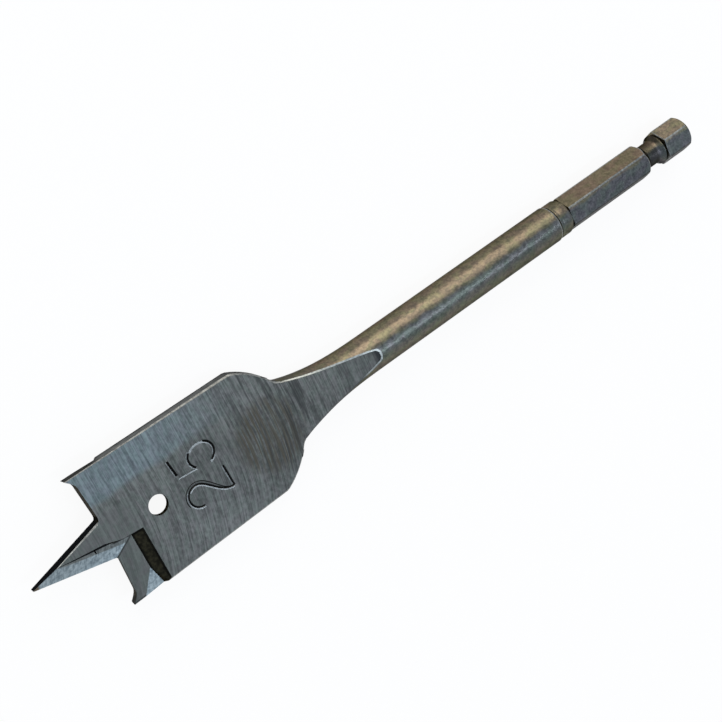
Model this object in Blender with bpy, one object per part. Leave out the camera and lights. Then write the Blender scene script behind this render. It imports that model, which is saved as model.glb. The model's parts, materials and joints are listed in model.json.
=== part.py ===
"""Spade drill bit: one forged and ground piece of steel, lying at rest on a floor.

The bit is drawn from its tip: +X runs from the tip to the tail along its axis,
+Z is the normal of the blade's front face and Y runs across the blade.
It turns clockwise seen from the tail, so the half at -Y leads with its front face
and the half at +Y leads with its back face. Turned half way round its axis it is the same.
It lies balanced on its round shaft, with the blade level and just clear of the floor,
which is the plane z = 0. The origin is on the floor, below the middle of its length.
"""

import math

import bmesh
import bpy
from mathutils import Vector

MM = 0.001

# Main sizes, in millimetres
BIT_LENGTH = 152.0
BLADE_WIDTH = 25.0
BLADE_THICKNESS = 2.4
BACK_TAPER = 0.95
SHAFT_DIAMETER = 7.22
HEX_ACROSS_FLATS = 6.3

# Lengths along the axis, one after the other: from the tip to the shaft, then from the tail to the shaft
POINT_LENGTH = 14.15
BLADE_LENGTH = 31.25
SHOULDER_LENGTH = 6.75
NECK_LENGTH = 19.35
TAIL_HEX_LENGTH = 6.9
GROOVE_SHOULDER_LENGTH = 1.7
GROOVE_LENGTH = 3.95
HEX_LENGTH = 33.2
COLLAR_STEP = 0.1
COLLAR_LENGTH = 2.3
END_GROOVE_LENGTH = 1.0

# Centre point: its flanks, and the twisted bevel ground along each leading edge
TIP_HALF_WIDTH = 0.12
NOTCH_HALF_WIDTH = 3.68
NOTCH_FILLET = 0.4
BEVEL_CREST = (3.9, 1.3)
BEVEL_TWIST = 2.2
BEVEL_STEP = 0.02
BEVEL_OVERRUN = 0.8
POINT_RELIEF = math.radians(4.0)

# Wall between the blade's face and the bevel: distances behind the notch, and places across the blade
WALL_KNEE = (-0.75, -0.17)
WALL_END = (2.45, -1.38)
POCKET_CORNER = (3.9, -1.65)
POCKET_WALL_LEAN = 0.22

# Cutting lips, spurs and the hollow ground behind each lip; widths are measured in from the blade's side
LIP_START_DROP = 0.2
LIP_START_OFFSET = 0.82
LIP_END_RISE = 0.15
LIP_RELIEF = math.radians(7.0)
SPUR_LEAD = 1.45
SPUR_WIDTH = 1.9
SPUR_BEND_WIDTH = 1.2
HOLLOW_DEPTH = 0.78
HOLLOW_RISE = 0.01
RAMP_LENGTH = 2.15
CORNER_FACET_WIDTH = 3.9
CORNER_FACET_SPREAD = 3.75
CORNER_FACET_DROP = 0.45
CORNER_FACET_LEAN = 1.27
CORNER_FACET_RUN = 5.4
CORNER_FACET_OVERRUN = 0.4

# Hanging hole, shoulder, neck and the long flats that run out on the shaft
HOLE_DIAMETER = 3.6
HOLE_BACK_DIAMETER = 5.1
HOLE_LAND = 1.0
HOLE_SETBACK = 10.1
SHOULDER_ROUND = 0.3
SHOULDER_BULGE = 0.57
NECK_HALF_WIDTH = 6.1
NECK_FILLET = (0.45, 0.62)
NECK_FILLET_RUN = 0.9
NECK_TAPER_POWER = 2.8
FLAT_SLOPE = 0.11
FLAT_BLEND = 3.0
FLAT_BEND_LEAD = 1.65
FLAT_RUNOUT_LEAD = 1.0
FLAT_RUNOUT = (1.5, 0.75)

# Shank details
SHAFT_END_ROUND = 0.45
SHAFT_END_DIP = 0.34
COLLAR_DIAMETER = 6.95
COLLAR_EDGE = (0.4, 0.15)
HEX_LEAD_DIAMETER = 6.2
HEX_LEAD = 0.06
HEX_CHAMFER = 0.1
HEX_CORNER_BREAK = 0.09
GROOVE_DIAMETER = 4.7
GROOVE_ENTRY = 1.4
GROOVE_FLARE = 0.85
GROOVE_SHOULDER_DIAMETER = 6.06
GROOVE_UNDERCUT = (0.45, 0.2)
TAIL_HEX_STEP = 0.15
TAIL_CHAMFER = 1.05
TAIL_END_DROP = 1.2

# Clearances and the fineness of curves
CUT_MARGIN = 1.5
TURN_STEPS = 64
NECK_STEPS = 10
SHOULDER_STEPS = 8
BEVEL_ROWS = 12
CURVE_STEPS = 4
ROUND_STEPS = 3
HOLE_STEPS = 40

# Stations along the axis, counted from the tip, and other sizes that follow from those above
NOTCH_X = POINT_LENGTH
SPUR_X = NOTCH_X - SPUR_LEAD
HOLE_X = NOTCH_X + HOLE_SETBACK
SHOULDER_X = NOTCH_X + BLADE_LENGTH
NECK_X = SHOULDER_X + SHOULDER_LENGTH
TAPER_END_X = NECK_X + NECK_LENGTH
TAIL_HEX_X = BIT_LENGTH - TAIL_HEX_LENGTH
GROOVE_END_X = TAIL_HEX_X - GROOVE_SHOULDER_LENGTH
GROOVE_START_X = GROOVE_END_X - GROOVE_LENGTH
HEX_START_X = BIT_LENGTH - HEX_LENGTH
COLLAR_END_X = HEX_START_X - COLLAR_STEP
COLLAR_START_X = COLLAR_END_X - COLLAR_LENGTH
SHAFT_END_X = COLLAR_START_X - END_GROOVE_LENGTH
POCKET_X = NOTCH_X + POCKET_CORNER[0]
POCKET_Y = POCKET_CORNER[1]
HALF_THICKNESS = BLADE_THICKNESS / 2
LEAD_Z = HALF_THICKNESS - HOLLOW_DEPTH + HOLLOW_RISE * POCKET_CORNER[0]
SHAFT_RADIUS = SHAFT_DIAMETER / 2
SIDE_REACH = BLADE_WIDTH / 2 + CUT_MARGIN


def blade_radius(x):
    """Half width of the blade, widest at the spurs and narrowing slightly to the shoulder."""
    slope = BACK_TAPER / 2 / (SHOULDER_X - SPUR_X)
    return BLADE_WIDTH / 2 - slope * (x - SPUR_X)


def bezier(start, control, end, steps):
    """Points after the start of a quadratic curve, the end included."""
    points = []
    for i in range(1, steps + 1):
        t = i / steps
        point = Vector(start) * (1 - t) ** 2 + Vector(control) * 2 * t * (1 - t) + Vector(end) * t * t
        points.append((point.x, point.y))
    return points


def arc_between(start, end, bulge, steps):
    """Points after the start of a shallow arc, bulging to the left of its chord."""
    a, b = Vector(start), Vector(end)
    chord = b - a
    side = Vector((-chord.y, chord.x)).normalized()
    points = []
    for i in range(1, steps + 1):
        t = i / steps
        point = a + chord * t + side * (4 * bulge * t * (1 - t))
        points.append((point.x, point.y))
    return points


def new_object(name, bm, frame, cutter=False):
    """An object in the bit's frame from a mesh in millimetres, with its faces pointing out."""
    bmesh.ops.recalc_face_normals(bm, faces=bm.faces)
    bmesh.ops.scale(bm, vec=(MM, MM, MM), verts=bm.verts)
    mesh = bpy.data.meshes.new(name)
    bm.to_mesh(mesh)
    bm.free()
    obj = bpy.data.objects.new(name, mesh)
    bpy.context.scene.collection.objects.link(obj)
    obj.parent = frame
    if cutter:
        obj.hide_render = True
        obj.display_type = "WIRE"
    return obj


def prism(bm, outline, low, high):
    """A solid from an outline of (a, b) points; low and high place a point at its two ends."""
    bottom = [bm.verts.new(low(a, b)) for a, b in outline]
    top = [bm.verts.new(high(a, b)) for a, b in outline]
    bm.faces.new(reversed(bottom))
    bm.faces.new(top)
    count = len(outline)
    for i in range(count):
        j = (i + 1) % count
        bm.faces.new((bottom[i], bottom[j], top[j], top[i]))


# Forged blank
# The blank is turned: a wide disc for the blade, a bulging shoulder, a tapering neck and the stepped shank.

def neck_profile():
    """Radius along the neck, falling fast from the shoulder and easing into the shaft."""
    points = []
    for i in range(NECK_STEPS + 1):
        x = NECK_X + NECK_FILLET_RUN + (NECK_LENGTH - NECK_FILLET_RUN) * i / NECK_STEPS
        share = (TAPER_END_X - x) / NECK_LENGTH
        points.append((x, SHAFT_RADIUS + (NECK_HALF_WIDTH - SHAFT_RADIUS) * share ** NECK_TAPER_POWER))
    return points


def collar_profile():
    """The rounded end of the shaft, a shallow groove, the collar and the step down to the hexagon."""
    dip = SHAFT_RADIUS - SHAFT_END_DIP
    collar = COLLAR_DIAMETER / 2
    round_end = (SHAFT_END_X + SHAFT_END_ROUND, dip)
    edge_run, edge_drop = COLLAR_EDGE
    shaft_end = (SHAFT_END_X, SHAFT_RADIUS)
    groove_middle = ((round_end[0] + COLLAR_START_X) / 2, dip)
    points = [shaft_end]
    points += bezier(shaft_end, (SHAFT_END_X + SHAFT_END_ROUND / 2, SHAFT_RADIUS), round_end, ROUND_STEPS)
    points += bezier(round_end, groove_middle, (COLLAR_START_X, collar), ROUND_STEPS)
    points += [(COLLAR_END_X - edge_run, collar), (COLLAR_END_X, collar - edge_drop)]
    return points


def drive_profile():
    """The round blank of the hexagon, cut by the locking groove, with a chamfer at the tail.

    It is a little thinner than the hexagon's corners, so that they are broken.
    """
    lead = HEX_LEAD_DIAMETER / 2
    full = HEX_ACROSS_FLATS / math.sqrt(3) - HEX_CORNER_BREAK
    neck = GROOVE_DIAMETER / 2
    shoulder = GROOVE_SHOULDER_DIAMETER / 2
    groove_x = GROOVE_START_X + GROOVE_ENTRY
    flare = (GROOVE_END_X + GROOVE_FLARE, (neck + 3 * shoulder) / 4)
    undercut_run, undercut_drop = GROOVE_UNDERCUT
    undercut = (TAIL_HEX_X - TAIL_HEX_STEP / 2, shoulder - undercut_drop)
    shoulder_end = (undercut[0] - undercut_run, shoulder)
    chamfer = (BIT_LENGTH - TAIL_CHAMFER, full)
    lead_end = HEX_START_X + HEX_LEAD
    points = [(HEX_START_X, lead), (lead_end, lead), (lead_end + HEX_CHAMFER, full)]
    points += [(GROOVE_START_X, full), (groove_x, neck), (GROOVE_END_X, neck)]
    points += bezier(points[-1], (GROOVE_END_X + GROOVE_FLARE / 2, neck), flare, ROUND_STEPS)
    points += bezier(flare, ((flare[0] + shoulder_end[0]) / 2, shoulder), shoulder_end, ROUND_STEPS)
    points += [undercut, (TAIL_HEX_X + TAIL_HEX_STEP / 2, full), chamfer]
    end = (BIT_LENGTH, full - TAIL_END_DROP)
    points += bezier(chamfer, (BIT_LENGTH - TAIL_CHAMFER / 3, full - TAIL_END_DROP / 3), end, ROUND_STEPS)
    return points


def blank_profile():
    """The whole turned outline as (x, radius) points, from the axis at the tip to the axis at the tail."""
    shoulder = blade_radius(SHOULDER_X)
    corner = (SHOULDER_X + SHOULDER_ROUND, shoulder - SHOULDER_ROUND / 2)
    arc_end = (NECK_X - NECK_FILLET[0], NECK_HALF_WIDTH + NECK_FILLET[1])
    neck = neck_profile()
    points = [(0.0, 0.0), (0.0, blade_radius(0.0)), (SHOULDER_X - SHOULDER_ROUND, shoulder), corner]
    points += arc_between(corner, arc_end, SHOULDER_BULGE, SHOULDER_STEPS)
    points += bezier(arc_end, (NECK_X, NECK_HALF_WIDTH), neck[0], ROUND_STEPS)
    points += neck[1:]
    points += collar_profile()
    points += drive_profile()
    points.append((BIT_LENGTH, 0.0))
    return points


def make_blank(frame):
    """Spin the outline about the axis, with one flat side of its many facing the floor."""
    bm = bmesh.new()
    phase = math.pi / TURN_STEPS
    verts = []
    for x, radius in blank_profile():
        verts.append(bm.verts.new((x, -radius * math.sin(phase), radius * math.cos(phase))))
    edges = [bm.edges.new(pair) for pair in zip(verts, verts[1:])]
    bmesh.ops.spin(
        bm, geom=verts + edges, cent=(0, 0, 0), axis=(1, 0, 0),
        angle=math.tau, steps=TURN_STEPS, use_merge=True, use_duplicate=False,
    )
    bmesh.ops.remove_doubles(bm, verts=bm.verts, dist=0.001)
    return new_object("spade_bit", bm, frame)


# Cutters
# Each shapes the front half of the cut; its twin is the same mesh turned half way round the axis.

def flat_outline():
    """Side view of what is pressed away above the blade: level, then rising until it leaves the shaft."""
    base = HALF_THICKNESS
    bend = NECK_X - FLAT_BEND_LEAD
    blend_end = (bend + FLAT_BLEND, base + FLAT_SLOPE * FLAT_BLEND)
    runout_x = TAPER_END_X - FLAT_RUNOUT_LEAD
    runout = (runout_x, base + FLAT_SLOPE * (runout_x - bend))
    top = BLADE_WIDTH / 2 + CUT_MARGIN
    points = [(-CUT_MARGIN, base), (bend - FLAT_BLEND, base)]
    points += bezier((bend - FLAT_BLEND, base), (bend, base), blend_end, CURVE_STEPS)
    points += [runout]
    run, rise = FLAT_RUNOUT
    half_way = (runout[0] + run / 2, runout[1] + FLAT_SLOPE * run / 2)
    points += bezier(runout, half_way, (runout[0] + run, runout[1] + rise), ROUND_STEPS)
    points += [(runout[0] + 2 * run, top), (-CUT_MARGIN, top)]
    return points


def make_flat_cutter(frame):
    """Cuts the front face of the blade and its long rising facet."""
    bm = bmesh.new()
    prism(
        bm, flat_outline(),
        lambda x, z: (x, -SIDE_REACH, z),
        lambda x, z: (x, SIDE_REACH, z),
    )
    return new_object("flat_cutter_front", bm, frame, cutter=True)


def head_outline():
    """Plan view of what is cut from the -Y side ahead of the lip, with Y counted away from the axis."""
    flank_slope = (NOTCH_HALF_WIDTH - TIP_HALF_WIDTH) / POINT_LENGTH
    front = -CUT_MARGIN
    side = BLADE_WIDTH / 2
    near_notch = (NOTCH_X - NOTCH_FILLET, NOTCH_HALF_WIDTH - NOTCH_FILLET * flank_slope)
    lip_start = (NOTCH_X + LIP_START_DROP, NOTCH_HALF_WIDTH + LIP_START_OFFSET)
    lip_end = (NOTCH_X - LIP_END_RISE, side - SPUR_WIDTH)
    spur_bend = (NOTCH_X - LIP_END_RISE, side - SPUR_BEND_WIDTH)
    points = [(front, TIP_HALF_WIDTH + front * flank_slope), near_notch]
    points += bezier(near_notch, (lip_start[0], NOTCH_HALF_WIDTH), lip_start, CURVE_STEPS)
    points += [lip_end]
    points += bezier(lip_end, spur_bend, (SPUR_X, side), CURVE_STEPS)
    points += [(SPUR_X - CUT_MARGIN / 2, SIDE_REACH), (front, SIDE_REACH)]
    return points


def make_head_cutter(frame):
    """Cuts the point's flank, the notch, the lip and the inside of the spur, all leaning back for relief."""
    lean = Vector((math.tan(LIP_RELIEF), math.tan(POINT_RELIEF)))
    reach = HALF_THICKNESS + CUT_MARGIN

    def place(z):
        shift = lean * (LEAD_Z - z)
        return lambda x, y: (x + shift.x, -y + shift.y, z)

    bm = bmesh.new()
    prism(bm, head_outline(), place(-reach), place(reach))
    return new_object("head_cutter_front", bm, frame, cutter=True)


def wall_top_y(x):
    """The line on the blade's face where the bevel along the point begins."""
    corners = [BEVEL_CREST]
    for behind, y in (WALL_KNEE, WALL_END, (POCKET_CORNER[0], POCKET_Y + POCKET_WALL_LEAN)):
        corners.append((NOTCH_X + behind, y))
    for (x0, y0), (x1, y1) in zip(corners, corners[1:]):
        if x <= x1:
            return y0 + (y1 - y0) * (x - x0) / (x1 - x0)
    return corners[-1][1]


def bevel_rows():
    """Lines down the bevel, from the blade's face to beyond the leading edge, one behind the other."""
    top_z = HALF_THICKNESS - BEVEL_STEP
    floor_z = HALF_THICKNESS - HOLLOW_DEPTH
    roof = HALF_THICKNESS + CUT_MARGIN
    rows = []
    for i in range(-1, BEVEL_ROWS + 1):
        t = i / BEVEL_ROWS
        edge_y = TIP_HALF_WIDTH + (NOTCH_HALF_WIDTH - TIP_HALF_WIDTH) * t
        edge = Vector((NOTCH_X * t, -edge_y, LEAD_Z))
        crest = Vector(BEVEL_CREST).lerp(Vector((POCKET_X, POCKET_Y)), t)
        crest_z = top_z + (floor_z - top_z) * max(t, 0.0) ** BEVEL_TWIST
        foot = Vector((crest.x, crest.y, crest_z))
        outer = edge + (edge - foot) * BEVEL_OVERRUN
        top_y = max(wall_top_y(crest.x), crest.y + BEVEL_STEP)
        lip_top = Vector((crest.x, top_y, HALF_THICKNESS))
        rows.append([(outer.x, outer.y, roof), outer, foot, lip_top, (lip_top.x, lip_top.y, roof)])
    return rows


def make_pocket_cutter(frame):
    """Cuts the bevel along the point, the hollow behind the lip and the ramp that leads out of it."""
    bm = bmesh.new()
    roof = HALF_THICKNESS + CUT_MARGIN
    floor_z = HALF_THICKNESS - HOLLOW_DEPTH
    rows = [[bm.verts.new(point) for point in row] for row in bevel_rows()]
    for near, far in zip(rows, rows[1:]):
        for i in range(len(near) - 1):
            bm.faces.new((near[i], near[i + 1], far[i + 1], far[i]))
    outer_roof, outer, foot, lip_top, above = rows[-1]
    ramp_run = RAMP_LENGTH * (HOLLOW_DEPTH + CUT_MARGIN) / HOLLOW_DEPTH
    front_x = SPUR_X - 2 * CUT_MARGIN
    foot_side = bm.verts.new((POCKET_X, -SIDE_REACH, floor_z))
    front_side = bm.verts.new((front_x, -SIDE_REACH, floor_z + HOLLOW_RISE * (POCKET_X - front_x)))
    front_roof = bm.verts.new((front_x, -SIDE_REACH, roof))
    ramp_side = bm.verts.new((POCKET_X + ramp_run, -SIDE_REACH, roof))
    ramp_inner = bm.verts.new((POCKET_X + ramp_run, POCKET_Y, roof))
    bm.faces.new((outer, foot, foot_side, front_side))
    bm.faces.new((foot, ramp_inner, ramp_side, foot_side))
    bm.faces.new((foot, lip_top, ramp_inner))
    bm.faces.new((lip_top, above, ramp_inner))
    bm.faces.new((foot_side, ramp_side, front_roof, front_side))
    bm.faces.new((outer, front_side, front_roof, outer_roof))
    bm.faces.new(rows[0])
    inner_roof = [row[-1] for row in rows]
    outer_roofs = [row[0] for row in reversed(rows)]
    bm.faces.new(inner_roof + [ramp_inner, ramp_side, front_roof] + outer_roofs)
    bmesh.ops.triangulate(bm, faces=bm.faces)
    return new_object("pocket_cutter_front", bm, frame, cutter=True)


def make_corner_cutter(frame):
    """Cuts the small triangular facet at the outer end of the hollow, with a steeper wall behind it."""
    root_y = CORNER_FACET_WIDTH - BLADE_WIDTH / 2
    root = Vector((POCKET_X, root_y, HALF_THICKNESS - HOLLOW_DEPTH))
    descent = Vector((CORNER_FACET_LEAN, -CORNER_FACET_RUN, -CORNER_FACET_DROP))
    inner = root - descent * CORNER_FACET_OVERRUN
    outer = root + descent
    roof = HALF_THICKNESS + CUT_MARGIN
    reach = 1 + CORNER_FACET_OVERRUN
    facet_arm = Vector((-CORNER_FACET_SPREAD - CORNER_FACET_LEAN, CORNER_FACET_DROP)) * reach
    wall_arm = Vector((RAMP_LENGTH - CORNER_FACET_LEAN, HOLLOW_DEPTH + CORNER_FACET_DROP)) * reach
    outline = [(facet_arm.x, facet_arm.y), (0.0, 0.0), (wall_arm.x, wall_arm.y)]
    outline += [(wall_arm.x, roof), (facet_arm.x, roof)]
    bm = bmesh.new()
    prism(
        bm, outline,
        lambda x, z: (inner.x + x, inner.y, inner.z + z),
        lambda x, z: (outer.x + x, outer.y, outer.z + z),
    )
    return new_object("corner_cutter_front", bm, frame, cutter=True)


def make_twin(cutter):
    """The same cutter for the back half, turned half way round the axis."""
    twin = bpy.data.objects.new(cutter.name.replace("front", "back"), cutter.data)
    bpy.context.scene.collection.objects.link(twin)
    twin.parent = cutter.parent
    twin.rotation_euler = (math.pi, 0.0, 0.0)
    twin.hide_render = True
    twin.display_type = "WIRE"
    return twin


def make_hole_cutter(frame):
    """Drills the hanging hole through the blade: straight from the front, then flared to the back."""
    bm = bmesh.new()
    reach = HALF_THICKNESS + CUT_MARGIN
    bore = HOLE_DIAMETER / 2
    flare_z = HALF_THICKNESS - HOLE_LAND
    flare_slope = (HOLE_BACK_DIAMETER / 2 - bore) / (BLADE_THICKNESS - HOLE_LAND)
    rings = []
    for z, radius in ((reach, bore), (flare_z, bore), (-reach, bore + flare_slope * (flare_z + reach))):
        ring = []
        for i in range(HOLE_STEPS):
            angle = 2 * math.pi * i / HOLE_STEPS
            ring.append(bm.verts.new((HOLE_X + radius * math.cos(angle), radius * math.sin(angle), z)))
        rings.append(ring)
    for upper, lower in zip(rings, rings[1:]):
        for i in range(HOLE_STEPS):
            j = (i + 1) % HOLE_STEPS
            bm.faces.new((upper[i], lower[i], lower[j], upper[j]))
    bm.faces.new(rings[0])
    bm.faces.new(reversed(rings[-1]))
    return new_object("hole_cutter", bm, frame, cutter=True)


def make_hex_cutter(frame):
    """A sleeve with a hexagonal bore: what it leaves of the turned shank is the six-sided drive."""
    bm = bmesh.new()
    start = HEX_START_X + HEX_LEAD / 2
    end = BIT_LENGTH + CUT_MARGIN
    rings = []
    for x in (start, end):
        for across in (HEX_ACROSS_FLATS, HEX_ACROSS_FLATS + 4 * CUT_MARGIN):
            radius = across / math.sqrt(3)
            ring = []
            for i in range(6):
                angle = math.radians(30 + 60 * i)
                ring.append(bm.verts.new((x, radius * math.sin(angle), radius * math.cos(angle))))
            rings.append(ring)
    bore_start, sleeve_start, bore_end, sleeve_end = rings
    for i in range(6):
        j = (i + 1) % 6
        bm.faces.new((bore_start[i], bore_start[j], sleeve_start[j], sleeve_start[i]))
        bm.faces.new((bore_end[i], bore_end[j], sleeve_end[j], sleeve_end[i]))
        bm.faces.new((bore_start[i], bore_start[j], bore_end[j], bore_end[i]))
        bm.faces.new((sleeve_start[i], sleeve_start[j], sleeve_end[j], sleeve_end[i]))
    return new_object("hex_cutter", bm, frame, cutter=True)


def cut(body, cutter):
    """Take the cutter's shape away from the body."""
    modifier = body.modifiers.new(cutter.name, "BOOLEAN")
    modifier.operation = "DIFFERENCE"
    modifier.solver = "EXACT"
    modifier.object = cutter


# Finish

def make_steel():
    """Ground and oxidised tool steel, a cool dark grey."""
    material = bpy.data.materials.new("tool_steel")
    material.use_nodes = True
    shader = material.node_tree.nodes["Principled BSDF"]
    shader.inputs["Base Color"].default_value = (0.17, 0.18, 0.19, 1.0)
    shader.inputs["Metallic"].default_value = 1.0
    shader.inputs["Roughness"].default_value = 0.42
    return material


def make_frame():
    """The bit's own frame, its origin at the tip, lifted so that the shaft rests on the floor."""
    frame = bpy.data.objects.new("bit_frame", None)
    bpy.context.scene.collection.objects.link(frame)
    frame.location = (-BIT_LENGTH / 2 * MM, 0.0, SHAFT_RADIUS * math.cos(math.pi / TURN_STEPS) * MM)
    return frame


def build():
    """Model the bit: turn the blank, then cut the blade, the point and the drive out of it."""
    for obj in list(bpy.data.objects):
        bpy.data.objects.remove(obj, do_unlink=True)
    frame = make_frame()
    body = make_blank(frame)
    for make in (make_flat_cutter, make_head_cutter, make_pocket_cutter, make_corner_cutter):
        cutter = make(frame)
        cut(body, cutter)
        cut(body, make_twin(cutter))
    cut(body, make_hole_cutter(frame))
    cut(body, make_hex_cutter(frame))
    body.data.shade_smooth()
    body.data.set_sharp_from_angle(angle=math.radians(25))
    body.data.materials.append(make_steel())


build()
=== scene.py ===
"""Looks of a 25 mm spade drill bit: ground blade, oxidised shank, stamped size, plain studio."""
import json
import math

import bmesh
import bpy
from mathutils import Matrix, Vector


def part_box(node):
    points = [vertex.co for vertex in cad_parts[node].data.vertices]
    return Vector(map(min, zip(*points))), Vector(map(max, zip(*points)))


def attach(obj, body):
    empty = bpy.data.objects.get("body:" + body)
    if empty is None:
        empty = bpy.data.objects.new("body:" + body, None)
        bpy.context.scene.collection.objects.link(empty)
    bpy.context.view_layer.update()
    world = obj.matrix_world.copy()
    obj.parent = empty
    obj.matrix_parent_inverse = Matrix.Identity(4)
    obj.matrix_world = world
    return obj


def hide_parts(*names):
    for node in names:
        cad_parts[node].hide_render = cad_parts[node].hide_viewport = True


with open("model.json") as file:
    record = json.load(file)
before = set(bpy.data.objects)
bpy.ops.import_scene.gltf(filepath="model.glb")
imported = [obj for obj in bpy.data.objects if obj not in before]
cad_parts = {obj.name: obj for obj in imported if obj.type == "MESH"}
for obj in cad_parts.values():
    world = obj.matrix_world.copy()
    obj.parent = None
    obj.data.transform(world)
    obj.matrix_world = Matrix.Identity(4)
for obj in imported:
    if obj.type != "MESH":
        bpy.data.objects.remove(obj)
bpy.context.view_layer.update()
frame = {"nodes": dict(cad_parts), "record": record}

# Body of the bit
# One forging of tool steel: turned shank, pressed blade, ground point and lips. It starts as a copy of
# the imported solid, drawn in millimetres from the tip, with +X to the tail and +Z out of the front face.
MM = 0.001
MERGE_DISTANCE = 0.002
PLANE_ANGLE = math.radians(0.1)

solid = frame["nodes"]["spade_bit"]
low_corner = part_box("spade_bit")[0]
drive_flats = [Vector(mount["pos_m"]) for mount in frame["record"]["mounts"]]
axis_height = sum(flat.z for flat in drive_flats) / len(drive_flats)
tip = Vector((low_corner.x, 0.0, axis_height))
from_tip = Matrix.Translation(tip) @ Matrix.Scale(MM, 4)


def add_object(name, data):
    """A new object in the scene from a mesh, a curve, a lamp or a camera."""
    obj = bpy.data.objects.new(name, data)
    bpy.context.scene.collection.objects.link(obj)
    return obj


bit = add_object("ground_bit", solid.data.copy())
bit.data.materials.clear()
body = bmesh.new()
body.from_mesh(bit.data)
bmesh.ops.transform(body, matrix=from_tip.inverted(), verts=body.verts)
bmesh.ops.remove_doubles(body, verts=body.verts, dist=MERGE_DISTANCE)
bmesh.ops.dissolve_limit(body, angle_limit=PLANE_ANGLE, verts=body.verts, edges=body.edges)

# Shank
# The neck, shaft, collar and hexagon are turned, then tempered, which leaves a mottled oxide. Its colour
# changes with the side: bronze brown toward +Y, grey along the top and olive toward -Y, partly the temper
# colours and partly painted light, warm on the +Y side and cool from above. Its finish is drawn with the
# classes below.


class Wire:
    """An output socket of a node, for use in plain sums with numbers and other wires."""

    def __init__(self, finish, socket):
        self.finish = finish
        self.socket = socket

    def sum(self, operation, *values):
        return self.finish.node("ShaderNodeMath", {"operation": operation}, dict(enumerate(values)))

    def __add__(self, other):
        return self.sum("ADD", self, other)

    def __radd__(self, other):
        return self.sum("ADD", other, self)

    def __sub__(self, other):
        return self.sum("SUBTRACT", self, other)

    def __rsub__(self, other):
        return self.sum("SUBTRACT", other, self)

    def __mul__(self, other):
        return self.sum("MULTIPLY", self, other)

    def __rmul__(self, other):
        return self.sum("MULTIPLY", other, self)

    def least(self, other):
        return self.sum("MINIMUM", self, other)

    def most(self, other):
        return self.sum("MAXIMUM", self, other)

    def step(self, start, end):
        """Rises smoothly from 0 at start to 1 at end, which may lie below start."""
        settings = {"interpolation_type": "SMOOTHSTEP"}
        rising = {0: self, 1: start, 2: end, 3: 0.0, 4: 1.0}
        falling = {0: self, 1: end, 2: start, 3: 1.0, 4: 0.0}
        return self.finish.node("ShaderNodeMapRange", settings, rising if start < end else falling)


class Finish:
    """A material whose shader is drawn up line by line."""

    def __init__(self, name, metallic, roughness):
        self.material = bpy.data.materials.new(name)
        self.material.use_nodes = True
        self.tree = self.material.node_tree
        self.shader = self.tree.nodes["Principled BSDF"]
        self.shader.inputs["Metallic"].default_value = metallic
        self.shader.inputs["Roughness"].default_value = roughness

    def node(self, kind, settings, inputs, output=0):
        """Add a node, set it up, feed its sockets with numbers, colours or wires, and return one output."""
        node = self.tree.nodes.new(kind)
        for key, value in settings.items():
            setattr(node, key, value)
        for key, value in inputs.items():
            if isinstance(value, Wire):
                self.tree.links.new(value.socket, node.inputs[key])
            else:
                node.inputs[key].default_value = value
        return Wire(self, node.outputs[output])

    def place(self):
        """Where a point lies on the bit, as wires for x, y and z in millimetres from the tip."""
        point = self.node("ShaderNodeTexCoord", {}, {}, "Object")
        moved = self.node("ShaderNodeMapping", {}, {
            "Vector": point,
            "Location": -tip / MM,
            "Scale": (1 / MM, 1 / MM, 1 / MM),
        })
        split = self.node("ShaderNodeSeparateXYZ", {}, {0: moved})
        return [Wire(self, socket) for socket in split.socket.node.outputs]

    def noise(self, x, y, z, detail=2.0, rough=0.5):
        """Cloudy values from 0 to 1 around the point x, y, z; a unit is about one cloud."""
        point = self.node("ShaderNodeCombineXYZ", {}, {0: x, 1: y, 2: z})
        inputs = {"Vector": point, "Scale": 1.0, "Detail": detail, "Roughness": rough}
        return self.node("ShaderNodeTexNoise", {}, inputs, "Fac")

    def blend(self, amount, first, second, kind="MIX"):
        """A colour between two others, or a first one changed by the second."""
        settings = {"data_type": "RGBA", "clamp_factor": True, "blend_type": kind}
        return self.node("ShaderNodeMix", settings, {0: amount, 6: first, 7: second}, 2)

    def set(self, name, wire):
        """Let a wire drive one of the shader's sockets."""
        self.tree.links.new(wire.socket, self.shader.inputs[name])

    def bump(self, height, depth, under=None):
        """Surface relief: height runs from 0 to 1, depth is in metres."""
        inputs = {"Height": height, "Distance": depth, "Strength": 1.0}
        if under is not None:
            inputs["Normal"] = under
        return self.node("ShaderNodeBump", {}, inputs, "Normal")


def tone(level, red=1.0, blue=1.0):
    """A metal's colour: its level in green, with red and blue as shares of that."""
    return (level * red, level, level * blue, 1.0)


HEX_START = 118.7
TAIL_START = 145.0
BROWN = tone(0.092, 1.14, 0.76), tone(0.178, 1.2, 0.67)
HEX_BROWN = tone(0.09, 1.22, 0.7), tone(0.145, 1.26, 0.7)
OLIVE = tone(0.105, 1.03, 0.82), tone(0.18, 1.07, 0.76)
GREY = tone(0.088, 0.98, 0.9), tone(0.175, 0.97, 0.93)
HEX_GREY = tone(0.062, 1.0, 1.02), tone(0.118, 1.0, 0.96)
PINK_CAST = tone(0.98, 1.06, 1.05)
GREEN_CAST = tone(1.02, 0.93, 0.93)

oxide = Finish("tempered_shank", 1.0, 0.36)
oxide.shader.inputs["Specular Tint"].default_value = tone(0.35)
x, y, z = oxide.place()
grain = oxide.noise(x * 2.2, y * 2.2, z * 2.2, 3.0, 0.65)
blotch = oxide.noise(x * 0.8, y * 0.9, z * 0.9, 3.0)
temper = oxide.noise(x * 0.35, y * 0.6, z * 0.6 + 9.0, 3.0)
turned = oxide.noise(x * 6.0, y * 0.15, z * 0.15, 2.0)
speck = (grain * 0.6 + blotch * 0.4).step(0.34, 0.66)
around = y + (temper - 0.5) * 1.6

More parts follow.
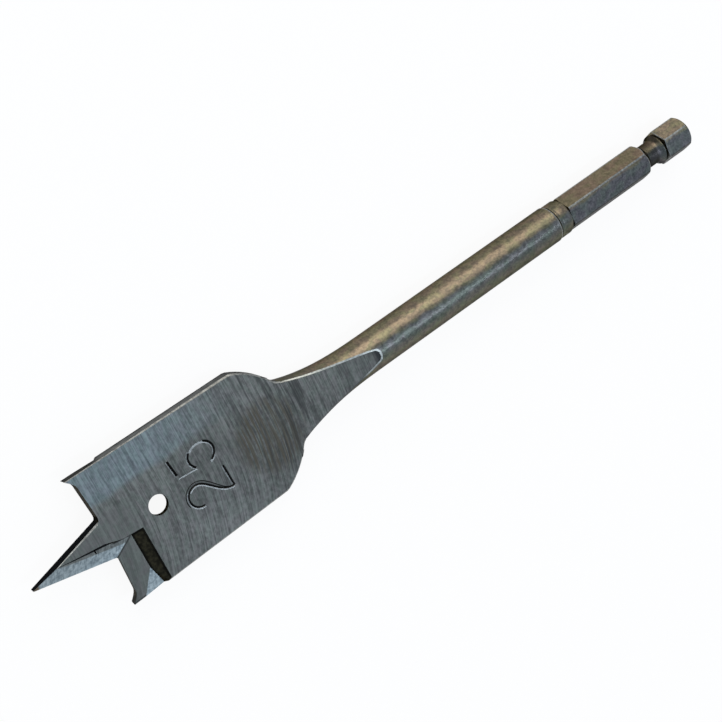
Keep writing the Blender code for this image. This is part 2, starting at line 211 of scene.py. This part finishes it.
hexagon = x.step(HEX_START - 0.3, HEX_START + 0.3)
before_tail = x.step(TAIL_START, TAIL_START - 2.0)
# Brown on the +Y side, grey and olive toward -Y, on the shaft and the hexagon: partly temper colours,
# partly painted warm and cool light.
brown = oxide.blend(speck, *BROWN)
brown = oxide.blend(hexagon * before_tail, brown, oxide.blend(speck, *HEX_BROWN))
olive = oxide.blend(around.step(-1.1, 0.2), oxide.blend(speck, *OLIVE), oxide.blend(speck, *GREY))
olive = oxide.blend(hexagon, olive, oxide.blend(speck, *HEX_GREY))
bronze = oxide.blend(around.step(0.9, 1.7), olive, brown)

far_shaft = x.step(92.0, 104.0) * x.step(HEX_START, HEX_START - 0.4)
level = oxide.blend(far_shaft, tone(1.0), tone(0.93))
level = oxide.blend(x.step(TAIL_START - 0.5, TAIL_START + 0.5), level, tone(1.22))
bronze = oxide.blend(1.0, bronze, level, "MULTIPLY")
beside_blade = x.step(63.0, 54.0) * 0.65
bronze = oxide.blend(beside_blade, bronze, tone(0.125, 1.04, 0.9))
# Painted shade on the +Y side of the groove's wall just before the tail.
groove_shade = x.step(143.2, 143.9) * x.step(TAIL_START, TAIL_START - 0.1) * y.step(1.4, 2.1) * 0.8
bronze = oxide.blend(groove_shade, bronze, tone(0.012, 1.0, 0.9))
cast = oxide.blend(temper.step(0.4, 0.6), PINK_CAST, GREEN_CAST)
bronze = oxide.blend(1.0, bronze, cast, "MULTIPLY")
groove_floor = x.step(140.3, 140.9) * x.step(143.7, 142.9) * 0.6
oxide.set("Base Color", oxide.blend(groove_floor, bronze, tone(0.02, 1.1, 0.8)))

rubbed_top = around.step(-2.2, -1.2) * around.step(0.6, -0.2) * x.step(118.0, 116.0)
oxide.set("Roughness", 0.27 + blotch * 0.14 - rubbed_top * 0.06)
relief = oxide.bump(blotch, 60e-6, oxide.bump(grain, 30e-6))
oxide.set("Normal", oxide.bump(turned, 5e-6, relief))

# Ground faces
# Both faces of the blade, the long facets on the neck and the floors of the hollows are ground. The wheel
# left fine lines across the bit, straight near +Y and swept toward the tip near -Y, and the steel has
# since taken rust near the shoulder and grime round the number.
SWEEP_START = 2.0
SWEEP = 0.0125
PASS_Y = 6.3
FACET_TIP_SHADE = (69.6, 70.5)
LOW_EDGE_SHADE = (-12.05, -12.3)
NOTCH = Vector((14.15, -3.68))
CREST_END = Vector((18.05, -1.65))
STEEL = tone(0.062, 0.98, 0.89), tone(0.168, 0.98, 0.88)
LOW_STEEL = tone(0.078, 0.99, 0.9), tone(0.208, 0.99, 0.9)
FIRST_CUT_SHEEN = tone(0.096, 0.82, 1.0), tone(0.224, 0.84, 1.0)
RUST = tone(0.06, 1.16, 0.74)


def beyond(x, y, start, end):
    """How far a place lies to the left of the line from start to end, in numbers or in wires."""
    run = (end - start).normalized()
    return (y - start.y) * run.x - (x - start.x) * run.y


def spot(x, y, centre, closeness):
    """A soft spot, 1 in its middle and 0 at its rim; closeness is one over its reach in x and y."""
    across = (x - centre[0]) * closeness[0]
    along = (y - centre[1]) * closeness[1]
    return (1 - across * across - along * along).step(0.0, 0.6)


ground = Finish("ground_blade", 1.0, 0.4)
x, y, z = ground.place()
swept = (SWEEP_START - y).most(0.0)
line = x + swept * swept * SWEEP
fine = ground.noise(line * 6.0, y * 0.3, z, 2.0)
scratch = ground.noise(line * 2.4, y * 0.1, z + 7.0, 3.0, 0.6)
band = ground.noise(line * 0.6, y * 0.06, z + 3.0, 2.0)
cloud = ground.noise(x * 0.16, y * 0.16, z + 11.0, 3.0)
mottle = ground.noise(x * 1.6, y * 1.2, z + 5.0, 3.0, 0.6)
hue = ground.noise(line * 1.1, y * 0.5, z + 15.0, 3.0, 0.6)
deep = ground.noise(line * 1.8, y * 0.08, z + 21.0, 3.0, 0.6)
streak = (scratch * 0.35 + fine * 0.25 + band * 0.15 + mottle * 0.25).step(0.36, 0.64)
calm = x.step(22.0, 18.0) * y.step(5.0, 3.0) * 0.5
streak = streak + calm * (0.42 - streak)

steel = ground.blend(streak, *STEEL)
# A band of the first grinding pass toward +Y, whose bluish, lighter tone is partly a painted reflection.
first_pass_sheen = (y + (cloud - 0.5) * 1.5).step(PASS_Y - 0.8, PASS_Y + 0.8) * x.step(48.0, 24.0) * 0.75
steel = ground.blend(first_pass_sheen, steel, ground.blend(streak, *FIRST_CUT_SHEEN))
low_side = y.step(0.0, -6.0) * x.step(46.0, 36.0) * x.step(18.0, 32.0) * 0.85
steel = ground.blend(low_side, steel, ground.blend(streak, *LOW_STEEL))
cast = ground.blend(hue.step(0.4, 0.6), tone(1.0, 0.97, 1.0), tone(0.97, 1.05, 1.05))
steel = ground.blend(1.0, steel, cast, "MULTIPLY")

rust = spot(x, y, (47.0, -1.5), (0.13, 0.13)) * scratch.step(0.4, 0.55) * 0.9
steel = ground.blend(rust, steel, RUST)
deep_lines = deep.step(0.5, 0.62) * x.step(36.0, 48.0) * x.step(64.0, 54.0) * 0.65
steel = ground.blend(deep_lines, steel, tone(0.035, 1.0, 0.95))
steel = ground.blend(x.step(60.0, 68.0) * 0.25, steel, tone(0.035, 0.95, 1.0))
# Painted shade: a dark reflection in the facet's runout at its tip.
steel = ground.blend(x.step(*FACET_TIP_SHADE) * 0.8, steel, tone(0.02, 0.95, 1.1))
grime = spot(x, y, (34.5, -1.5), (0.11, 0.12)) * 0.16
steel = ground.blend(grime, steel, tone(0.03))
bevel_end = beyond(x, y, NOTCH, CREST_END).step(-0.4, -0.15) * y.step(-1.2, -1.5) * z.step(-0.6, -0.2)
bevel_end = bevel_end * x.step(NOTCH.x - 0.25, NOTCH.x + 0.25)
bevel_end = bevel_end * x.step(CREST_END.x + 0.15, CREST_END.x - 0.25)
steel = ground.blend(bevel_end * 0.7, steel, tone(0.02))
# Painted shade: a thin dark line along the -Y edge of the blade face.
low_edge_shade = y.step(*LOW_EDGE_SHADE) * x.step(46.0, 44.0) * 0.6
ground.set("Base Color", ground.blend(low_edge_shade, steel, tone(0.015)))
ground.set("Roughness", 0.36 + cloud * 0.12)
relief = ground.bump(scratch * 0.6 + fine * 0.4, 6e-6)
ground.set("Normal", ground.bump(cloud, 12e-6, relief))

# Fresh grinding
# The bevels along the point and the little facets in the corners are sharpened last, so they are
# brightest. Under the crest a duller strip of painted shade widens toward the tail, and a painted shadow
# line runs along the last part of the crest.
CREST_START = Vector((3.9, 1.3))
STRIP_SPREAD = 0.072
POLISH = tone(0.22, 0.86, 1.04), tone(0.45, 0.9, 1.0)
SHADED_POLISH = tone(0.09, 1.0, 0.9), tone(0.2, 1.0, 0.9)

fresh = Finish("sharpened_bevel", 1.0, 0.42)
x, y, z = fresh.place()
line = x * 0.9 - y * 0.5
fine = fresh.noise(line * 5.0, y * 1.2, z, 2.0)
cloud = fresh.noise(x * 1.2, y * 1.6, z, 3.0, 0.6)
bright = (fine * 0.35 + cloud * 0.65).step(0.36, 0.64)
polish = fresh.blend(bright, *POLISH)
polish = fresh.blend(x.step(1.2, 0.8), polish, tone(0.12, 1.3, 0.7))
below_crest = beyond(x, y, CREST_END, CREST_START)
on_bevel = x.step(21.0, 20.0)
# Painted shade: a duller strip under the crest, widening toward the tail.
crest_shade = (below_crest - (x - CREST_START.x) * STRIP_SPREAD).step(0.24, 0.04)
crest_shade = crest_shade * x.step(4.5, 6.5) * on_bevel * 0.85
polish = fresh.blend(crest_shade, polish, fresh.blend(bright, *SHADED_POLISH))
# Painted shadow: a dark line just under the end of the crest.
crest_shadow = below_crest.step(0.4, 0.2) * x.step(14.0, 15.0) * on_bevel
fresh.set("Base Color", fresh.blend(crest_shadow, polish, tone(0.025, 1.0, 0.95)))
fresh.set("Roughness", 0.36 + cloud * 0.15)
fresh.set("Normal", fresh.bump(fine, 5e-6))

# Forging scale
# The flanks of the point, the roots of the lips, the ramps out of the hollows and the hole keep a black
# scale from the forge. The same black is put on narrow rings by the collar and the groove as painted
# shadow lines, and the borders of the ramps are darker still as painted shade.
RAMP_FOOT = 18.5
RAMP_TOP = 19.7
RAMP_SIDE = 2.25
SCALE_BROWN = tone(0.013, 1.1, 0.7), tone(0.036, 1.14, 0.6)
FLANK_BLACK = tone(0.014, 0.95, 1.1)

scale = Finish("black_scale", 1.0, 0.5)
scale.shader.inputs["Specular Tint"].default_value = tone(0.15)
x, y, z = scale.place()
cloud = scale.noise(x * 1.3, y * 1.3, z * 1.3, 4.0, 0.6)
black = scale.blend(cloud.step(0.35, 0.7), *SCALE_BROWN)
black = scale.blend(x.step(15.0, 13.5), black, FLANK_BLACK)
side = y.step(-0.1, 0.1) * 2 - 1
# Painted shade along the borders of the ramps.
ramp_border_shade = x.step(RAMP_FOOT, RAMP_FOOT - 0.25).most(x.step(RAMP_TOP, RAMP_TOP + 0.25))
ramp_border_shade = ramp_border_shade.most((y * side).step(RAMP_SIDE, RAMP_SIDE - 0.3)) * x.step(17.0, 17.5) * x.step(21.5, 21.0)
scale.set("Base Color", scale.blend(ramp_border_shade * 0.8, black, tone(0.005, 1.1, 0.9)))
scale.set("Roughness", 0.42 + cloud * 0.2)
scale.set("Normal", scale.bump(cloud, 20e-6))

# Sides of the blade
# The narrow sides and the ends of the lips are only trimmed, a dull grey with marks along the bit. They
# darken toward the spurs and on the shoulders, and half of each side's thickness keeps a rough black.
DULL = tone(0.105, 0.96, 1.0), tone(0.225, 0.97, 0.98)
SPUR_DARK = tone(0.02, 1.1, 0.85)
SHOULDER_DARK = tone(0.03, 1.05, 0.9)
LIP_BROWN = tone(0.08, 1.08, 0.85)
ROUGH_BLACK = tone(0.012, 1.05, 0.9)

trim = Finish("trimmed_side", 1.0, 0.5)
trim.shader.inputs["Specular Tint"].default_value = tone(0.3)
x, y, z = trim.place()
along = trim.noise(x * 0.5, y, z * 6.0, 3.0)
cloud = trim.noise(x * 0.7, y, z, 3.0)
marks = (along * 0.6 + cloud * 0.4).step(0.3, 0.7)
side = y.step(-0.1, 0.1) * 2 - 1
dull = trim.blend(marks, *DULL)
dull = trim.blend(x.step(22.0, 17.0) * 0.7, dull, SPUR_DARK)
dull = trim.blend(x.step(42.0, 46.0) * 0.45, dull, SHOULDER_DARK)
lip_end = (y * side).step(11.8, 11.2) * x.step(17.5, 16.5) * (z * side).step(-0.3, 0.2) * 0.9
dull = trim.blend(lip_end, dull, LIP_BROWN)
rough_edge = (z * side).step(-0.2, -1.0) * 0.9
trim.set("Base Color", trim.blend(rough_edge, dull, ROUGH_BLACK))
trim.set("Roughness", 0.42 + cloud * 0.16)
trim.set("Normal", trim.bump(along, 10e-6))

# Zones of the surface
# Each face of the forging is given the finish that the last tool left there. The back half is the front
# half turned half way round the axis, so it is judged by the same rules.
OXIDE, GROUND, FRESH, SCALE, TRIM, WORN, STAMP = range(7)
HOLE = Vector((24.25, 0.0))
HOLE_REACH = 2.7
HEAD_END = 21.0
SHOULDER_END = 52.5
FACET_END = 73.6
FACET_LEAN = -0.03
WORN_HIGHLIGHT_RING = (115.4, 115.7)
SHADOW_RINGS = ((115.7, 116.1), (140.2, 141.0), (144.58, 145.05))
HEX_FLAT_RADIUS = 3.45
LIP_START = 5.0
CORNER_Y = -8.6
CORNER_LEAN = 0.05
FORWARD = -0.6
LEVEL = 0.98
SIDEWAYS = 0.9
SLOPE_LIMIT = 0.5
SQUARE = 0.1
WALL_LIMIT = 0.3


def within(value, spans):
    """Whether a value lies inside one of the spans."""
    return any(start < value < end for start, end in spans)


def shank_zone(face, middle, place):
    """The finish of a face behind the blade."""
    # Narrow rings at the collar and in the groove take the black scale as painted shadow lines.
    if within(middle.x, SHADOW_RINGS):
        return SCALE
    # The +Y corner lands of the hexagon and a ring at the shaft's end take the bright worn colour: partly
    # wear, partly a painted highlight.
    worn_highlight_ridge = abs(face.normal.x) < SQUARE and math.hypot(middle.y, middle.z) > HEX_FLAT_RADIUS
    worn_highlight_ridge = worn_highlight_ridge and middle.x > HEX_START and place.y > 1.0
    return WORN if worn_highlight_ridge or within(middle.x, [WORN_HIGHLIGHT_RING]) else OXIDE


def head_zone(face, middle, place, facing):
    """The finish of a face on the point, the lips or the hollows."""
    if facing < WALL_LIMIT:
        outward = abs(face.normal.y) > SIDEWAYS or face.normal.x < FORWARD
        return TRIM if outward and abs(middle.y) > LIP_START else SCALE
    before_hollow = beyond(*place, NOTCH, CREST_END) > 0
    under_crest = beyond(*place, CREST_START, CREST_END) < 0
    if middle.x < CREST_START.x or (before_hollow and under_crest):
        return FRESH
    if facing > LEVEL:
        return FRESH if place.y < CORNER_Y and face.normal.x > CORNER_LEAN else GROUND
    return SCALE


def zone(face):
    """The finish of a face."""
    middle = face.calc_center_median()
    half = 1.0 if middle.z > 0 else -1.0
    place = Vector((middle.x, middle.y * half))
    facing = face.normal.z * half
    if middle.x > FACET_END:
        return shank_zone(face, middle, place)
    if (place - HOLE).length < HOLE_REACH and facing < SLOPE_LIMIT:
        return SCALE
    if middle.x < HEAD_END:
        return head_zone(face, middle, place, facing)
    if middle.x < SHOULDER_END:
        return GROUND if facing > LEVEL else TRIM
    return GROUND if facing > SLOPE_LIMIT and face.normal.x < FACET_LEAN else OXIDE


for finish in (oxide, ground, fresh, scale, trim):
    bit.data.materials.append(finish.material)
for face in body.faces:
    face.material_index = zone(face)

# Broken edges
# Handling and the buffing wheel break the outer edges to narrow facets; the cutting edges stay sharp.
# The facets shine most along the neck and the start of the shaft; on the neck's -Y side they are
# darkened as painted shadow.
EDGE_WIDTH = 0.24
EDGE_ANGLE = math.radians(24)
FACET_EDGE_ANGLE = math.radians(4)
GROOVE_RIMS = ((139.0, 140.2), (144.9, 145.6))
RAMP_CORNER = (HEAD_END - 1.5, HEAD_END)
SIDE_START = HEAD_END - 3
HANDLED = tone(0.14, 0.99, 0.97), tone(0.28, 0.98, 0.96)
RUBBED = tone(0.32, 0.98, 0.92), tone(0.52, 0.98, 0.94)


def take_mesh(obj):
    """Give an object the mesh that its modifiers leave, in place of the old one."""
    graph = bpy.context.evaluated_depsgraph_get()
    mesh = bpy.data.meshes.new_from_object(obj.evaluated_get(graph))
    obj.modifiers.clear()
    obj.data = mesh


def edge_share(edge):
    """How far an edge is broken, as a share of the full width."""
    if len(edge.link_faces) != 2:
        return 0.0
    kinds = set(face.material_index for face in edge.link_faces)
    middle = (edge.verts[0].co + edge.verts[1].co) / 2
    angle = edge.calc_face_angle(0.0)
    if kinds == {GROUND, OXIDE} and angle > FACET_EDGE_ANGLE:
        return 0.75
    if angle < EDGE_ANGLE:
        return 0.0
    if within(middle.x, GROOVE_RIMS):
        flat = [abs(face.normal.x) < SQUARE for face in edge.link_faces]
        return 0.4 if flat[0] != flat[1] else 0.0
    if kinds == {GROUND, TRIM} and middle.x > SIDE_START:
        return 1.0
    if kinds == {GROUND, SCALE} and (middle.x < NOTCH.x or within(middle.x, [RAMP_CORNER])):
        if any(abs(face.normal.y) > SIDEWAYS for face in edge.link_faces):
            return 1.0
        return 0.6 if middle.x > NOTCH.x else 0.0
    return 0.0


worn = Finish("worn_edge", 1.0, 0.34)
x, y, z = worn.place()
cloud = worn.noise(x * 2.2, y * 2.2, z * 2.2, 3.0)
bare = cloud.step(0.3, 0.7)
most_rubbed = (x.step(52.0, 58.0) * x.step(95.0, 85.0)).most(x.step(12.0, 6.0) * 0.5)
edge_colour = worn.blend(most_rubbed, worn.blend(bare, *HANDLED), worn.blend(bare, *RUBBED))
# Painted shadow on the broken edges on the neck's -Y side.
shaded = x.step(50.0, 54.0) * x.step(69.0, 66.0) * y.step(-1.5, -2.2) * 0.85
worn.set("Base Color", worn.blend(shaded, edge_colour, tone(0.05)))
worn.set("Roughness", 0.3 + cloud * 0.15)
bit.data.materials.append(worn.material)

weights = body.edges.layers.float.new("bevel_weight_edge")
for edge in body.edges:
    edge[weights] = edge_share(edge)
body.to_mesh(bit.data)
body.free()
broken = bit.modifiers.new("broken_edges", "BEVEL")
broken.limit_method = "WEIGHT"
broken.width = EDGE_WIDTH
broken.segments = 1
broken.use_clamp_overlap = False
broken.material = WORN
take_mesh(bit)

# Stamped size
# The width in millimetres, 25, is struck into the front with single-line punches, the 5 a little askew.
# The 2 was struck twice, and the neck of the 5 and the right of its bowl only lightly. Each stroke is a
# V-shaped groove in a shallow dent, and the nick in the crest of the point is cut in the same way.
STROKE_WIDTH = 0.44
STROKE_DEPTH = 0.26
RIM_WIDTH = 0.8
RIM_DEPTH = 0.05
NICK_WIDTH = 0.42
NICK_DEPTH = 0.7
STROKE_CLEARANCE = 0.3
ARC_STEPS = 20

stamp = Finish("stamped_groove", 1.0, 0.5)
x, y, z = stamp.place()
cloud = stamp.noise(x * 3.0, y * 3.0, z * 3.0, 3.0)
stamp.set("Base Color", stamp.blend(cloud, tone(0.016), tone(0.05, 1.05, 0.95)))
bit.data.materials.append(stamp.material)
face_z = max(vert.co.z for vert in bit.data.vertices if vert.co.x < HOLE.x)


def arc(centre, radii, start, end):
    """Points of an elliptic arc between two angles in degrees."""
    points = []
    for i in range(ARC_STEPS + 1):
        angle = math.radians(start + (end - start) * i / ARC_STEPS)
        points.append(Vector(centre) + Vector((radii[0] * math.cos(angle), radii[1] * math.sin(angle))))
    return points


def sweep_to(start, leave, arrive, end):
    """Points of a cubic curve after its start."""
    points = []
    for i in range(1, ARC_STEPS + 1):
        t = i / ARC_STEPS
        a, b, c, d = (1 - t) ** 3, 3 * t * (1 - t) ** 2, 3 * t * t * (1 - t), t ** 3
        points.append(Vector(start) * a + Vector(leave) * b + Vector(arrive) * c + Vector(end) * d)
    return points


TWO_CENTRE = (31.1, -2.95)
TWO_RADII = (1.97, 1.97)
TWO_ECHO_RADII = (2.5, 2.5)
FIVE_CENTRE = (34.7, 3.05)
FIVE_RADII = (2.5, 2.12)

two = arc(TWO_CENTRE, TWO_RADII, -87, -297)
two += sweep_to(two[-1], (33.5, -1.9), (34.9, -4.95), (37.2, -5.0))
two_echo = arc(TWO_CENTRE, TWO_ECHO_RADII, -160, -297)
two_echo += sweep_to(two_echo[-1], (33.9, -1.5), (35.2, -4.5), (36.6, -4.8))
two_foot = [Vector((37.3, -5.05)), Vector((37.13, -0.9))]
five_top = [Vector((28.95, 5.4)), Vector((29.3, 2.3))]
five_neck = [Vector((29.4, 1.75)), Vector((32.95, 1.35))]
five_bowl = arc(FIVE_CENTRE, FIVE_RADII, -136, -430)
bowl_top = arc(FIVE_CENTRE, FIVE_RADII, -136, -221)
bowl_foot = arc(FIVE_CENTRE, FIVE_RADII, -301, -420)
nick = [Vector((11.42, 0.0)), Vector((11.5, -0.9))]
dents = (
    (two, 0.95),
    (two_foot, 1.0),
    (five_top, 0.9),
    (five_neck, 0.5),
    (five_bowl, 0.9),
)
grooves = (
    (two, 0.9),
    (two_echo, 0.4),
    (two_foot, 1.0),
    (five_top, 1.1),
    (bowl_top, 1.0),
    (bowl_foot, 1.0),
)


def stroke_tree():
    """Geometry nodes that sweep a kite along a stroke: its long top half turns down into the metal."""
    tree = bpy.data.node_groups.new("punch_stroke", "GeometryNodeTree")
    tree.interface.new_socket("Geometry", in_out="INPUT", socket_type="NodeSocketGeometry")
    tree.interface.new_socket("Geometry", in_out="OUTPUT", socket_type="NodeSocketGeometry")
    for name in ("Width", "Depth", "Clearance"):
        tree.interface.new_socket(name, in_out="INPUT", socket_type="NodeSocketFloat")
    tree.interface.new_socket("Material", in_out="INPUT", socket_type="NodeSocketMaterial")
    nodes, link = tree.nodes, tree.links.new
    entry = nodes.new("NodeGroupInput")
    normal = nodes.new("GeometryNodeSetCurveNormal")
    normal.mode = "Z_UP"
    profile = nodes.new("GeometryNodeCurvePrimitiveQuadrilateral")
    profile.mode = "KITE"
    sweep = nodes.new("GeometryNodeCurveToMesh")
    sweep.inputs["Fill Caps"].default_value = True
    realize = nodes.new("GeometryNodeRealizeInstances")
    dress = nodes.new("GeometryNodeSetMaterial")
    leave = nodes.new("NodeGroupOutput")
    link(entry.outputs["Geometry"], normal.inputs["Curve"])
    link(normal.outputs["Curve"], sweep.inputs["Curve"])
    link(entry.outputs["Width"], profile.inputs["Width"])
    link(entry.outputs["Depth"], profile.inputs["Top Height"])
    link(entry.outputs["Clearance"], profile.inputs["Bottom Height"])
    link(profile.outputs["Curve"], sweep.inputs["Profile Curve"])
    link(sweep.outputs["Mesh"], realize.inputs["Geometry"])
    link(realize.outputs["Geometry"], dress.inputs["Geometry"])
    link(entry.outputs["Material"], dress.inputs["Material"])
    link(dress.outputs["Geometry"], leave.inputs["Geometry"])
    return tree


def strike(piece, stroke, width, depth, tree):
    """Cut one stroke, a path on the front face, into the piece."""
    path = bpy.data.curves.new("stroke", "CURVE")
    path.dimensions = "3D"
    spline = path.splines.new("POLY")
    spline.points.add(len(stroke) - 1)
    for point, place in zip(spline.points, stroke):
        point.co = (place.x, place.y, face_z, 1.0)
    cutter = add_object("stroke", path)
    sweep = cutter.modifiers.new("sweep", "NODES")
    sweep.node_group = tree
    settings = {
        "Width": width,
        "Depth": depth,
        "Clearance": STROKE_CLEARANCE,
        "Material": stamp.material,
    }
    for socket in tree.interface.items_tree:
        if socket.name in settings:
            sweep[socket.identifier] = settings[socket.name]
    graph = bpy.context.evaluated_depsgraph_get()
    blade = bpy.data.meshes.new_from_object(cutter.evaluated_get(graph))
    bpy.data.objects.remove(cutter)
    cutter = add_object("stroke", blade)
    groove = piece.modifiers.new("groove", "BOOLEAN")
    groove.operation = "DIFFERENCE"
    groove.solver = "EXACT"
    groove.material_mode = "TRANSFER"
    groove.object = cutter
    take_mesh(piece)
    bpy.data.objects.remove(cutter)


punch = stroke_tree()
for stroke, share in dents:
    strike(bit, stroke, RIM_WIDTH * share, RIM_DEPTH * share, punch)
for stroke, share in grooves:
    strike(bit, stroke, STROKE_WIDTH * share, STROKE_DEPTH * share, punch)
strike(bit, nick, NICK_WIDTH, NICK_DEPTH, punch)

# Finished bit
# The dents are bare steel again: where they lean toward the tail and +Y they take the bright edge colour
# as a painted highlight, and elsewhere they look like the face.
# Faces that meet at a shallow angle read as one curved surface; ground corners stay crisp.
CRISP_ANGLE = math.radians(5)
SMOOTH_ANGLE = math.radians(24)
DENT_LEAN = 0.9

whole = bmesh.new()
whole.from_mesh(bit.data)
bmesh.ops.dissolve_degenerate(whole, dist=MERGE_DISTANCE, edges=whole.edges)
for face in whole.faces:
    face.smooth = True
    # Painted highlight: dent slopes leaning toward the tail and +Y take the bright edge colour.
    if face.material_index == STAMP and face.normal.z > DENT_LEAN:
        face.material_index = WORN if face.normal.x + face.normal.y > 0 else GROUND
for edge in whole.edges:
    kinds = set(face.material_index for face in edge.link_faces)
    limit = CRISP_ANGLE if len(kinds) > 1 else SMOOTH_ANGLE
    edge.smooth = edge.calc_face_angle(0.0) < limit
bmesh.ops.transform(whole, matrix=from_tip, verts=whole.verts)
whole.to_mesh(bit.data)
whole.free()

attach(bit, "root")
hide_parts("spade_bit")

# Floor
# A plain pale sheet without gloss. The camera and the steel see it almost white, mostly by a glow of its
# own; the rest is plain paper, which keeps a soft shadow.
FLOOR_REACH = 3.0
GLOW_SHARE = 0.92
SEEING_RAYS = ("Is Camera Ray", "Is Glossy Ray", "Is Transmission Ray")

floor_mesh = bpy.data.meshes.new("floor")
corners = [
    (-FLOOR_REACH, -FLOOR_REACH, 0),
    (FLOOR_REACH, -FLOOR_REACH, 0),
    (FLOOR_REACH, FLOOR_REACH, 0),
    (-FLOOR_REACH, FLOOR_REACH, 0),
]
floor_mesh.from_pydata(corners, [], [(0, 1, 2, 3)])
floor = add_object("floor", floor_mesh)
paper = Finish("white_paper", 0.0, 1.0)
paper.shader.inputs["Base Color"].default_value = (0.9, 0.9, 0.9, 1.0)
paper.shader.inputs["Specular IOR Level"].default_value = 0.0
seen = [paper.node("ShaderNodeLightPath", {}, {}, ray) for ray in SEEING_RAYS]
glow_share = (seen[0] + seen[1] + seen[2]).least(1.0) * GLOW_SHARE
glow = paper.node("ShaderNodeEmission", {}, {"Color": (1, 1, 1, 1), "Strength": 1.0})
sheet = Wire(paper, paper.shader.outputs[0])
surface = paper.node("ShaderNodeMixShader", {}, {0: glow_share, 1: sheet, 2: glow})
paper.tree.links.new(surface.socket, paper.tree.nodes["Material Output"].inputs["Surface"])
floor.data.materials.append(paper.material)

# Light
# A white room with a cool ceiling, a wide warm lamp low on the +Y side and a narrow cool one overhead
# that draws a line of light along the shaft. Both lamps face the middle of the bit.
WALL_WHITE = (1.0, 1.0, 1.0, 1.0)
CEILING_BLUE = (0.56, 0.66, 0.78, 1.0)
CEILING_START = 0.6

world = bpy.data.worlds.new("studio")
world.use_nodes = True
bpy.context.scene.world = world
sky = world.node_tree
direction = sky.nodes.new("ShaderNodeTexCoord")
height = sky.nodes.new("ShaderNodeSeparateXYZ")
ramp = sky.nodes.new("ShaderNodeValToRGB")
wall, ceiling = ramp.color_ramp.elements
wall.position = 0.0
wall.color = WALL_WHITE
ceiling.position = CEILING_START
ceiling.color = CEILING_BLUE
sky.links.new(direction.outputs["Generated"], height.inputs[0])
sky.links.new(height.outputs["Z"], ramp.inputs[0])
sky.links.new(ramp.outputs[0], sky.nodes["Background"].inputs["Color"])


def softbox(name, aside, along, distance, width, length, colour, level):
    """A flat lamp facing the middle of the bit.

    It stands at an angle aside from overhead toward +Y and along toward the tail, in degrees.
    Level is its brightness, where 1 is a white wall in full light.
    """
    light = bpy.data.lights.new(name, "AREA")
    light.shape = "RECTANGLE"
    light.size = length
    light.size_y = width
    light.color = colour
    light.energy = math.pi * level * width * length
    lamp = add_object(name, light)
    up = math.cos(math.radians(aside))
    facing = Vector((math.tan(math.radians(along)) * up, math.sin(math.radians(aside)), up)).normalized()
    across = Vector((1, 0, 0)).cross(facing).normalized()
    endways = across.cross(facing).normalized()
    lamp.location = facing * distance
    lamp.rotation_euler = Matrix((endways, across, facing)).transposed().to_euler()


softbox(
    "warm_side",
    aside=60,
    along=25,
    distance=0.9,
    width=0.6,
    length=0.9,
    colour=(1.0, 0.93, 0.8),
    level=2.55,
)
softbox(
    "cool_strip",
    aside=-11,
    along=14,
    distance=0.9,
    width=0.09,
    length=0.6,
    colour=(0.78, 0.87, 1.0),
    level=7.7,
)

# Camera
# It looks down on the bit from ahead of the tip and from the +Y side, turned so that the bit climbs to
# the right. Its places are millimetres from the tip, as on the bit.
CAMERA_AT = Vector((-33.11, 98.56, 228.48))
CAMERA_AIM = Vector((68.71, -0.48, 0.0))
CAMERA_TURN = math.radians(103.527)
LENS = 76.43
SENSOR = 36.0
NEAREST = 0.01

camera_data = bpy.data.cameras.new("camera")
camera_data.lens = LENS
camera_data.sensor_width = SENSOR
camera_data.clip_start = NEAREST
camera = add_object("camera", camera_data)
look = (CAMERA_AIM - CAMERA_AT).to_track_quat("-Z", "Y").to_matrix().to_4x4()
roll = Matrix.Rotation(CAMERA_TURN, 4, "Z")
camera.matrix_world = Matrix.Translation(from_tip @ CAMERA_AT) @ look @ roll
bpy.context.scene.camera = camera
bpy.context.scene.view_settings.view_transform = "Standard"
